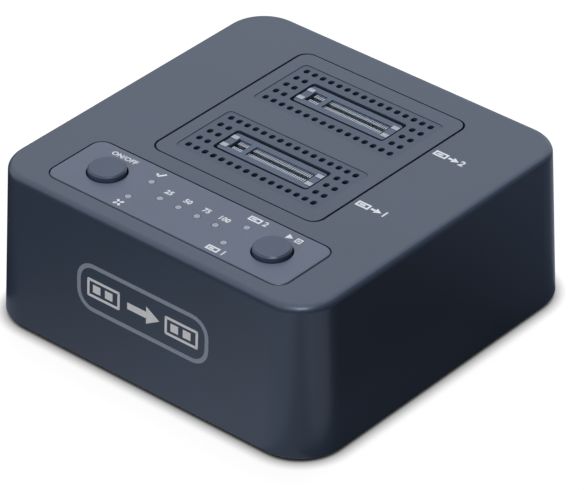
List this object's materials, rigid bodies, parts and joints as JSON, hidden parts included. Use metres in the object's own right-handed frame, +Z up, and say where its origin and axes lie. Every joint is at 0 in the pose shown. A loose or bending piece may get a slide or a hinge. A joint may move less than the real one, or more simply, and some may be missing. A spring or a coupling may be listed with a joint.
{
  "type": "drive duplicator",
  "caption": "Square tapered tabletop drive duplicator with a grilled bay of vertical drive card sockets, a control panel with push buttons and status lights, and a rear power inlet.",
  "frame": {"origin": "on the tabletop, under the middle of the housing: the centre of the bounding box in plan, at the underside of the rubber feet", "axes": "+Z up; -Y is the front, with the control panel nearest it; +X to the right seen from the front; the power inlet is in the +Y wall"},
  "size_m": [0.0852, 0.0844, 0.0362],
  "materials": {
    "housing_plastic": "fine spark-eroded texture, dark slate with a blue cast",
    "grille_plastic": "fine texture, a shade darker than the housing",
    "panel_plastic": "smooth satin, a shade lighter than the housing",
    "button_plastic": "smooth satin",
    "screw_steel": "black zinc plated",
    "foot_rubber": "matt",
    "socket_plastic": "moulded liquid-crystal polymer, grey",
    "connector_plastic": "moulded, black",
    "contact_plating": "gold flash over copper alloy",
    "clip_tin": "tin plated, bright",
    "guide_acrylic": "clear, polished ends",
    "lamp_resin": "surface-mount lamp",
    "board_laminate": "green solder mask",
    "chip_epoxy": "moulded epoxy",
    "pad_silicone": "soft silicone",
    "heatsink_aluminium": "extruded, clear anodised",
    "inductor_ferrite": "pressed ferrite powder",
    "capacitor_can": "bright can"
  },
  "bodies": {
    "chassis": {"upper_housing": "housing_plastic", "bottom_plate": "housing_plastic", "bay_panel": "housing_plastic", "source_grille": "grille_plastic", "target_grille": "grille_plastic", "control_panel": "panel_plastic", "base_screws": "screw_steel", "socket_board_screws": "screw_steel", "main_board_screws": "screw_steel", "rubber_feet": "foot_rubber", "source_socket": "socket_plastic", "target_socket": "socket_plastic", "board_header": "connector_plastic", "board_receptacle": "connector_plastic", "dc_jack": "connector_plastic", "power_switch": "connector_plastic", "start_switch": "connector_plastic", "source_contacts": "contact_plating", "target_contacts": "contact_plating", "header_pins": "contact_plating", "source_clips": "clip_tin", "target_clips": "clip_tin", "dc_jack_pin": "clip_tin", "light_guide": "guide_acrylic", "status_lamps": "lamp_resin", "socket_board": "board_laminate", "main_board": "board_laminate", "controller_chip": "chip_epoxy", "memory_chip": "chip_epoxy", "firmware_chip": "chip_epoxy", "thermal_pad": "pad_silicone", "heatsink": "heatsink_aluminium", "clock_crystal": "clip_tin", "power_inductors": "inductor_ferrite", "power_capacitors": "capacitor_can"},
    "power_button_body": {"power_button": "button_plastic", "power_plunger": "connector_plastic"},
    "start_button_body": {"start_button": "button_plastic", "start_plunger": "connector_plastic"}
  },
  "joints": [
    {"name": "power_press", "type": "slide", "parent": "chassis", "child": "power_button_body", "axis": [0, 0, -1], "range_m": [0, 0.0005], "stiffness_N_per_m": 300, "springref_m": -0.002},
    {"name": "start_press", "type": "slide", "parent": "chassis", "child": "start_button_body", "axis": [0, 0, -1], "range_m": [0, 0.0005], "stiffness_N_per_m": 300, "springref_m": -0.002}
  ]
}
